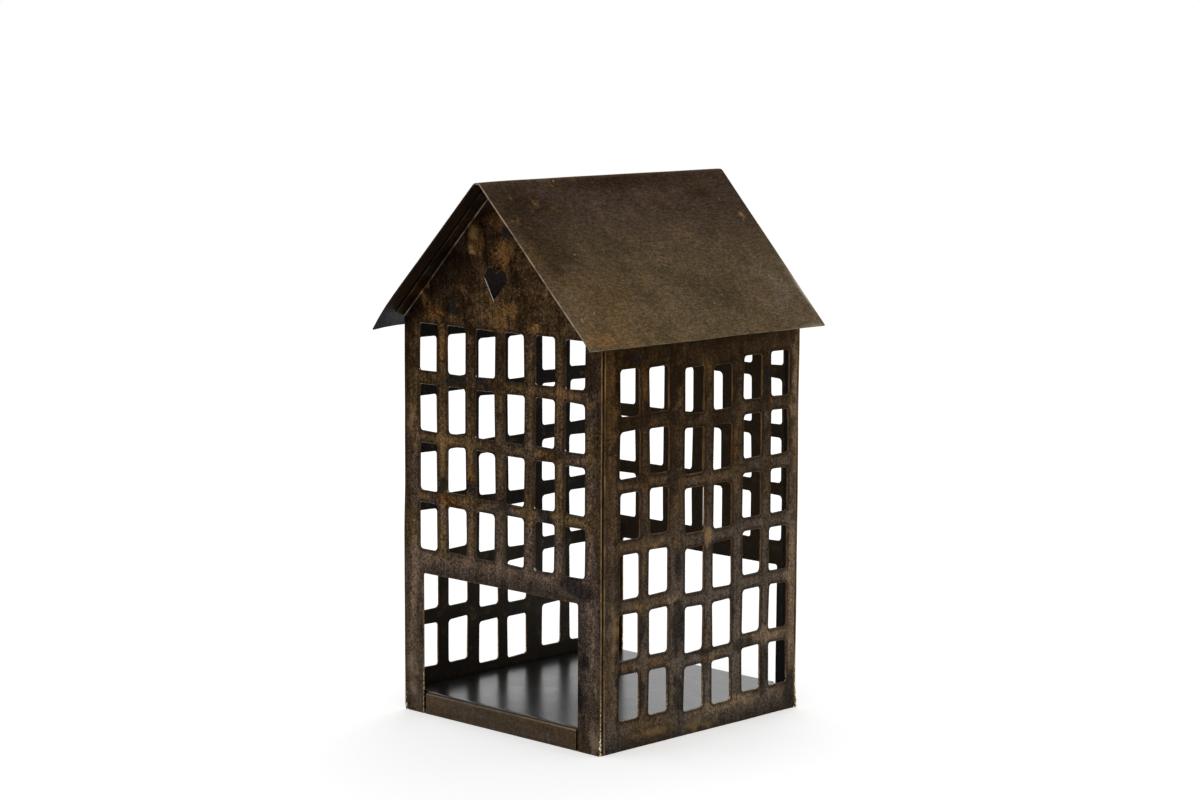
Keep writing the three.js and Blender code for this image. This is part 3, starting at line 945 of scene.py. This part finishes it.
def gable_sheet(chance, trim):
    """One gable, pierced and folded, with its outer face towards -Y."""
    lantern = chosen()
    sheet, window, gable = lantern.sheet, lantern.window, lantern.gable
    half = gable_high.x - trim
    apex = point(0, gable_high.z)
    down = point(math.cos(gable.pitch), -math.sin(gable.pitch))
    outward = point(math.sin(gable.pitch), math.cos(gable.pitch))
    flange = -gable_low.y + gable_high.y - sheet.thickness
    tab = outward * (QUARTER * gable.fold_radius + flange - gable.fold_radius)
    eave = point(half, apex.z - half * math.tan(gable.pitch))
    ridge = apex + down * (gable.ridge_gap / down.x)
    slope = [eave, eave + tab - down * gable.flange_mitre, ridge + tab, ridge]
    left = gable.left_pier - gable_high.x
    right = gable_high.x - gable.right_pier
    corners = [
        point(-half, 0),
        point(left, 0),
        point(left, gable.door_height),
        point(right, gable.door_height),
        point(right, 0),
        point(half, 0),
        *slope,
        apex,
        *(point(-corner.x, corner.z) for corner in reversed(slope)),
    ]
    door = gable.door_radius
    roundings = ((0, gable.clipped_foot), (5, gable.foot_radius), (2, door), (3, door))
    centres = [
        point(
            (column - (gable.columns - 1) / 2) * window.column_pitch,
            gable.sill + gable.window_height / 2 + row * gable.row_pitch,
        )
        for column in range(gable.columns)
        for row in range(gable.rows)
    ]
    windows = window_holes(centres, gable.window_height, chance, shine=0.5, burr=2.2)
    heart = heart_hole(gable, sheet.rub, shine=0.6, burr=2)
    bm = cut_sheet(corners, roundings, (windows, heart))
    rim = bm.verts.layers.float["rim"]
    worn = bm.verts.layers.float["worn"]
    for across in (outward, point(-outward.x, outward.z)):
        for vert in bm.verts:
            # Past the fold the flange, in the roof's shade, gets a dull rim and painted light.
            if (vert.co - apex).dot(across) > NEAR:
                vert[rim] *= DULL_RIM
                vert[worn] = FLANGE_WEAR
        fold(bm, apex, across, Vector((0, -1, 0)), QUARTER, gable.fold_radius, shine=0.9)
    bmesh.ops.translate(bm, vec=(0, gable_high.y - sheet.thickness, 0), verts=bm.verts)
    return bm


def flare_foot(bm, gable):
    """Lets the left edge of the front gable swell outwards towards its foot."""
    for vert in bm.verts:
        near = max(1 - (vert.co.x + gable_high.x) / gable.flare_width, 0)
        down = min(max((gable.flare_top - vert.co.z) / gable.flare_rise, 0), 1)
        vert.co.x -= gable.flare * near * down * down * (3 - 2 * down)


def wall_sheet(sills, front, chance):
    """One side wall, pierced and folded, with its outer face towards -Y. front is 1 where its front
    corner is at its right, seen from outside, and -1 where it is at its left."""
    lantern = chosen()
    window, wall = lantern.window, lantern.wall
    radii = {front: wall.fold_radius, -front: wall.rear_fold_radius}
    reach = wall_high.y + wall_high.x - wall_low.x
    left, right = ((2 - QUARTER) * radii[-1] - reach, reach - (2 - QUARTER) * radii[1])
    corner = -gable_high.y + lantern.sheet.thickness
    strip = window.column_pitch + window.width
    first = -corner + wall.first_edge + strip / 2
    last = corner - wall.last_edge - strip / 2
    strips = [first, (first + last) / 2 + wall.middle_shift, last]
    centres = [
        point(middle + side * window.column_pitch / 2, sill + wall.window_height / 2 + row * wall.row_pitch)
        for middle, sill in zip(strips, sills)
        for side in (-1, 1)
        for row in range(wall.rows)
    ]
    windows = window_holes(centres, wall.window_height, chance, shine=0.8, burr=1)
    bm = cut_sheet(oblong(left, right, 0, wall_high.z), holes=(windows,))
    for side, radius in radii.items():
        across = Vector((side, 0, 0))
        line = across * (wall_high.y - radius)
        fold(bm, line, across, Vector((0, 1, 0)), QUARTER, radius, shine=1, seam=True)
    bmesh.ops.translate(bm, vec=(0, -wall_high.x, 0), verts=bm.verts)
    return bm


class LANTERN_OT_gables(bpy.types.Operator):
    """Cuts, pierces and folds the front and rear gables"""

    bl_idname = "lantern.gables"
    bl_label = "Gables"

    def execute(self, context):
        lantern = context.scene.lantern
        finish, gable = lantern.finish, lantern.gable
        # The inner faces get painted shade.
        finishes = (
            gable_brass(),
            smoked_brass("shaded_inner_gable_brass", finish.smoke, finish.soot, (20, 120)),
            sheared_brass("sheared_gable_brass", finish.sheared),
        )
        for node, turn, trim, seed in (("front_gable", 0, 0, 11), ("rear_gable", math.pi, gable.trim, 12)):
            bm = gable_sheet(random.Random(seed), trim)
            turn_about(bm, "Z", turn)
            wave(bm, lantern.sheet.wave, seed, node)
            if node == "front_gable":
                flare_foot(bm, gable)
            finish_sheet(bm, node, finishes)
        return {"FINISHED"}


class LANTERN_OT_walls(bpy.types.Operator):
    """Cuts, pierces and folds the two side walls"""

    bl_idname = "lantern.walls"
    bl_label = "Side walls"

    def execute(self, context):
        lantern = context.scene.lantern
        finish, wall = lantern.finish, lantern.wall
        # The inner faces get painted shade, nearly black high up.
        finishes = (
            wall_brass(),
            smoked_brass("shaded_inner_wall_brass", finish.lamp_black, finish.soot, (40, 130)),
            sheared_brass("sheared_wall_brass", finish.coppery),
        )
        sides = (("right_wall", wall.right_sills, 1, 21), ("left_wall", wall.left_sills, -1, 22))
        for node, sills, side, seed in sides:
            bm = wall_sheet(sills, -side, random.Random(seed))
            turn_about(bm, "Z", side * QUARTER)
            wave(bm, lantern.sheet.wave, seed, node)
            finish_sheet(bm, node, finishes)
        return {"FINISHED"}


class LANTERN_OT_tray(bpy.types.Operator):
    """Folds the floor tray with a flap through each doorway"""

    bl_idname = "lantern.tray"
    bl_label = "Floor tray"

    def execute(self, context):
        lantern = context.scene.lantern
        finish, gable, tray = lantern.finish, lantern.gable, lantern.tray
        drop = QUARTER * tray.fold_radius + tray_high.z - tray.fold_radius
        half = tray_high.x - tray.fold_radius
        face = tray_high.y - tray.fold_radius
        end = wall_high.y - lantern.wall.fold_radius
        left = gable.left_pier - gable_high.x + tray.jamb_gap
        right = gable_high.x - gable.right_pier - tray.jamb_gap
        front = [
            point(-half - drop, -end),
            point(left, -end),
            point(left, -face - drop),
            point(right, -face - drop),
            point(right, -end),
            point(half + drop, -end),
        ]
        bm = cut_sheet(front + [-corner for corner in front])
        rim = bm.verts.layers.float["rim"]
        for vert in bm.verts:
            if abs(vert.co.z) > face:
                vert[rim] = 0
        for reach, across in ((half, (1, 0, 0)), (half, (-1, 0, 0)), (face, (0, 0, 1)), (face, (0, 0, -1))):
            across = Vector(across)
            line = across * reach
            fold(bm, line, across, Vector((0, 1, 0)), QUARTER, tray.fold_radius, shine=0.7, seam=True)
        turn_about(bm, "X", -QUARTER)
        bmesh.ops.translate(bm, vec=(0, 0, tray_high.z), verts=bm.verts)
        wave(bm, tray.wave, 31, "floor_tray")
        # The underside gets painted shade.
        finishes = (
            floor_brass(),
            smoked_brass("shaded_inner_floor_brass", finish.soot, finish.soot, (20, 190)),
            sheared_brass("sheared_floor_brass", finish.sheared),
        )
        finish_sheet(bm, "floor_tray", finishes)
        return {"FINISHED"}


class LANTERN_OT_roof(bpy.types.Operator):
    """Folds the roof over its ridge and bends the corner that was knocked"""

    bl_idname = "lantern.roof"
    bl_label = "Roof"

    def execute(self, context):
        lantern = context.scene.lantern
        finish, roof, pitch = lantern.finish, lantern.roof, lantern.gable.pitch
        round_x = roof.ridge_radius * math.sin(pitch)
        reach = pitch * roof.ridge_radius + (roof_high.x - round_x) / math.cos(pitch)
        end = roof_high.y
        bm = cut_sheet(oblong(-reach, reach, -end, end))
        rim = bm.verts.layers.float["rim"]
        worn = bm.verts.layers.float["worn"]
        for vert in bm.verts:
            front = vert.co.z < 2 * lantern.sheet.rub - end
            vert[rim] *= DULL_RIM if vert.co.x < 0 else 1 if front else SIDE_RIM
            # Painted shade on the middle of the underside, deep inside the house.
            vert[worn] = SOOT if abs(vert.co.z) < roof.soot_reach else 0
            if vert.co.z > 0:
                set_in = roof.verge_set + roof.verge_slant * max(vert.co.x, 0) / reach
                vert.co.z -= set_in * vert.co.z / end
        for side in (1, -1):
            across = Vector((side, 0, 0))
            fold(bm, Vector(), across, Vector((0, 1, 0)), pitch, roof.ridge_radius, shine=0)
        turn_about(bm, "X", -QUARTER)
        bmesh.ops.translate(bm, vec=(0, 0, roof_high.z), verts=bm.verts)
        wave(bm, lantern.sheet.wave, 41, "roof")
        inwards = point(math.sin(pitch), -math.cos(pitch))
        for vert in bm.verts:
            near = max(1 - (vert.co - roof_low).length / roof.knock_reach, 0)
            vert.co += inwards * roof.knock * near * near
            beside = max(1 - abs(vert.co.x) / roof.sag_reach, 0)
            vert.co.z -= roof.sag * beside * max(-vert.co.y / end, 0) ** 4
        # The underside is brown higher up, and low under the eaves a grey painted reflection of the white
        # floor. Its middle has painted shade.
        underside = {"span": (205, 216), "blur": 0.03, "tint": (0.48, 0.49, 0.5)}
        finishes = (
            roof_brass(),
            smoked_brass("shaded_inner_roof_brass", finish.shade, finish.soffit, **underside),
            sheared_brass("sheared_roof_brass", finish.pale),
        )
        finish_sheet(bm, "roof", finishes)
        return {"FINISHED"}


class LANTERN_OT_braze(bpy.types.Operator):
    """Runs braze up the foot of each corner seam"""

    bl_idname = "lantern.braze"
    bl_label = "Braze"

    def execute(self, context):
        lantern = context.scene.lantern
        braze = lantern.braze
        corner_x, corner_y = gable_high.x, -gable_high.y + lantern.sheet.thickness
        material = cooled_braze()
        corners = (
            ("braze_front_right", 1, -1),
            ("braze_front_left", -1, -1),
            ("braze_rear_right", 1, 1),
            ("braze_rear_left", -1, 1),
        )
        for number, (node, side_x, side_y) in enumerate(corners):
            chance = random.Random(50 + number)
            bm = bmesh.new()
            for bead in range(braze.beads):
                share = bead / (braze.beads - 1)
                radius = braze.radius * chance.uniform(braze.smallest, 1) * (1 - braze.taper * share)
                in_x, in_y = (chance.uniform(*depths) * MM for depths in ((0.1, 0.5), (0.05, 0.6)))
                height = radius + share * (braze.height - 2 * radius)
                middle = (side_x * (corner_x - in_x), side_y * (corner_y - in_y), height)
                place = Matrix.Translation(middle)
                bmesh.ops.create_icosphere(bm, subdivisions=3, radius=radius, matrix=place)
            piece = new_object(node + "_run", bm, [material])
            melt = piece.modifiers.new("Melt", "REMESH")
            melt.mode = "VOXEL"
            melt.voxel_size = braze.voxel
            melt.use_smooth_shade = True
            settle(piece, node)
        return {"FINISHED"}


def seen_by(tree, *rays):
    """1 for these kinds of ray and 0 for the others."""
    seen = 0
    for ray in rays:
        kind = add(tree, "LightPath", {}, f"Is {ray} Ray")
        seen = add(tree, "Math", {0: seen, 1: kind}, operation="MAXIMUM")
    return seen


class LANTERN_OT_stage(bpy.types.Operator):
    """Sets the white floor, the surroundings, the softboxes and the camera"""

    bl_idname = "lantern.stage"
    bl_label = "Stage"

    def execute(self, context):
        stage = context.scene.lantern.stage
        self.floor(stage)
        self.surroundings(context, stage)
        self.softbox(context, "high_softbox", stage.key_place, stage.key_size, stage.key, stage.aim)
        self.softbox(context, "low_softbox", stage.fill_place, stage.fill_size, stage.fill, stage.aim)
        self.camera(context, stage)
        return {"FINISHED"}

    def floor(self, stage):
        """White paper, which doesn't glow under the lantern."""
        bm = bmesh.new()
        bmesh.ops.create_grid(bm, x_segments=8, y_segments=8, size=stage.floor_reach)
        for cut in (Vector((tray_high.x, 0, 0)), Vector((0, tray_high.y, 0))):
            score(bm, cut, cut.normalized())
            score(bm, -cut, cut.normalized())
        for face in bm.faces:
            middle = face.calc_center_median()
            face.material_index = int(abs(middle.x) < tray_high.x and abs(middle.y) < tray_high.y)
        materials = []
        for name, glow in (("white_floor", stage.glow), ("shaded_floor", 0)):
            material, tree = new_material(name)
            paper = add(tree, "BsdfDiffuse", {"Color": Color([stage.paper] * 3)})
            glow = add(tree, "Emission", {"Color": WHITE, "Strength": glow})
            lifted = add(tree, "AddShader", {0: paper, 1: glow})
            seen = seen_by(tree, "Camera", "Glossy")
            white = add(tree, "MixShader", {0: seen, 1: paper, 2: lifted})
            add(tree, "OutputMaterial", {"Surface": white})
            materials.append(material)
        new_object("floor", bm, materials)

    def surroundings(self, context, stage):
        world = bpy.data.worlds.new("white_surroundings")
        world.use_nodes = True
        tree = world.node_tree
        tree.nodes.clear()
        seen = seen_by(tree, "Camera", "Glossy", "Transmission")
        strength = graded(tree, (seen, 0, 1, stage.ambient, 1))
        sky = add(tree, "Background", {"Color": WHITE, "Strength": strength})
        add(tree, "OutputWorld", {"Surface": sky})
        context.scene.world = world

    def softbox(self, context, name, place, size, power, aim):
        data = bpy.data.lights.new(name, "AREA")
        data.shape = "SQUARE"
        data.size = size
        data.energy = power
        lamp = bpy.data.objects.new(name, data)
        lamp.location = place
        lamp.rotation_euler = (Vector(aim) - Vector(place)).to_track_quat("-Z", "Y").to_euler()
        context.scene.collection.objects.link(lamp)

    def camera(self, context, stage):
        data = bpy.data.cameras.new("camera")
        data.lens = stage.lens
        data.sensor_width = 36
        data.clip_start = 0.05
        data.clip_end = 50
        camera = bpy.data.objects.new("camera", data)
        turn = Matrix.Rotation(stage.yaw, 4, "Z") @ Matrix.Rotation(QUARTER - stage.tilt, 4, "X")
        turn = turn @ Matrix.Rotation(stage.roll, 4, "Z")
        camera.matrix_world = Matrix.Translation(stage.camera_place) @ turn
        context.scene.collection.objects.link(camera)
        context.scene.camera = camera
        context.scene.view_settings.view_transform = "Standard"


class LANTERN_PT_panel(bpy.types.Panel):
    bl_idname = "LANTERN_PT_panel"
    bl_label = "House lantern"
    bl_space_type = "VIEW_3D"
    bl_region_type = "UI"
    bl_category = "House lantern"

    def draw(self, context):
        for maker in MAKERS:
            self.layout.operator(maker.bl_idname)


MAKERS = (
    LANTERN_OT_stage, LANTERN_OT_gables, LANTERN_OT_walls,
    LANTERN_OT_tray, LANTERN_OT_roof, LANTERN_OT_braze,
)
SETTINGS = (
    LanternSheet, LanternWindow, LanternGable, LanternWall, LanternTray, LanternRoof, LanternBraze,
    LanternFinish, LanternStage, LanternSettings,
)
CLASSES = SETTINGS + MAKERS + (LANTERN_PT_panel,)


def register():
    for cls in CLASSES:
        bpy.utils.register_class(cls)
    bpy.types.Scene.lantern = PointerProperty(type=LanternSettings)


def unregister():
    del bpy.types.Scene.lantern
    for cls in reversed(CLASSES):
        bpy.utils.unregister_class(cls)


def main():
    register()
    bpy.ops.lantern.stage()
    bpy.ops.lantern.gables()
    bpy.ops.lantern.walls()
    bpy.ops.lantern.tray()
    bpy.ops.lantern.roof()
    bpy.ops.lantern.braze()


if __name__ == "__main__":
    main()
